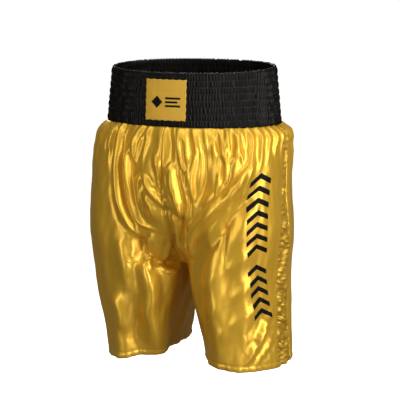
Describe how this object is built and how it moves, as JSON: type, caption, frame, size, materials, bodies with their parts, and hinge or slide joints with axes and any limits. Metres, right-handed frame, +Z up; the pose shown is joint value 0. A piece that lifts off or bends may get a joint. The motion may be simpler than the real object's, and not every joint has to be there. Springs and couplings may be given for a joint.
{
  "type": "boxing shorts",
  "caption": "Knee-length boxing shorts: satin leg panels with flared side stripes, gathered into a wide shirred elastic waistband with a front patch.",
  "frame": {"origin": "centre of the waist opening, level with the waistband's top rim at the front", "axes": "+Z up out of the waist opening, -Y towards the front of the wearer, +X towards the wearer's left leg"},
  "size_m": [0.3884, 0.2767, 0.566],
  "materials": {
    "gold_satin": "shiny polyester satin, gold",
    "black_satin": "matte to silky black satin, shirred",
    "elastic": "woven elastic webbing",
    "black_thread": "black sewing thread",
    "gold_thread": "gold sewing thread",
    "black_film": "black heat-pressed film"
  },
  "bodies": {
    "root": {"waistband_casing": "black_satin", "elastic_strip_1": "elastic", "elastic_strip_2": "elastic", "elastic_strip_3": "elastic", "elastic_strip_4": "elastic", "elastic_strip_5": "elastic", "elastic_strip_6": "elastic", "elastic_strip_7": "elastic", "elastic_strip_8": "elastic", "channel_stitch_1": "black_thread", "channel_stitch_2": "black_thread", "channel_stitch_3": "black_thread", "channel_stitch_4": "black_thread", "channel_stitch_5": "black_thread", "channel_stitch_6": "black_thread", "channel_stitch_7": "black_thread", "front_patch": "gold_satin", "patch_stitch_top": "gold_thread", "patch_stitch_bottom": "gold_thread", "patch_stitch_right": "gold_thread", "patch_stitch_left": "gold_thread", "patch_mark_lozenge": "black_film", "patch_mark_bar_1": "black_film", "patch_mark_bar_2": "black_film", "patch_mark_bar_3": "black_film", "front_panel_left": "gold_satin", "side_stripe_left": "gold_satin", "back_panel_left": "gold_satin", "front_panel_right": "gold_satin", "side_stripe_right": "gold_satin", "back_panel_right": "gold_satin", "hem_band_left": "gold_satin", "hem_stitch_left": "gold_thread", "hem_band_right": "gold_satin", "hem_stitch_right": "gold_thread", "side_seam_front_left": "gold_thread", "side_seam_back_left": "gold_thread", "inseam_left": "gold_thread", "side_seam_front_right": "gold_thread", "side_seam_back_right": "gold_thread", "inseam_right": "gold_thread", "rise_seam_front": "gold_thread", "rise_seam_back": "gold_thread", "waist_seam": "gold_thread", "leg_chevron_1": "black_film", "leg_chevron_2": "black_film", "leg_chevron_3": "black_film", "leg_chevron_4": "black_film", "leg_chevron_5": "black_film", "leg_chevron_6": "black_film", "leg_chevron_7": "black_film", "leg_chevron_8": "black_film", "leg_chevron_9": "black_film", "leg_chevron_10": "black_film", "leg_chevron_11": "black_film", "leg_chevron_12": "black_film"}
  },
  "joints": []
}
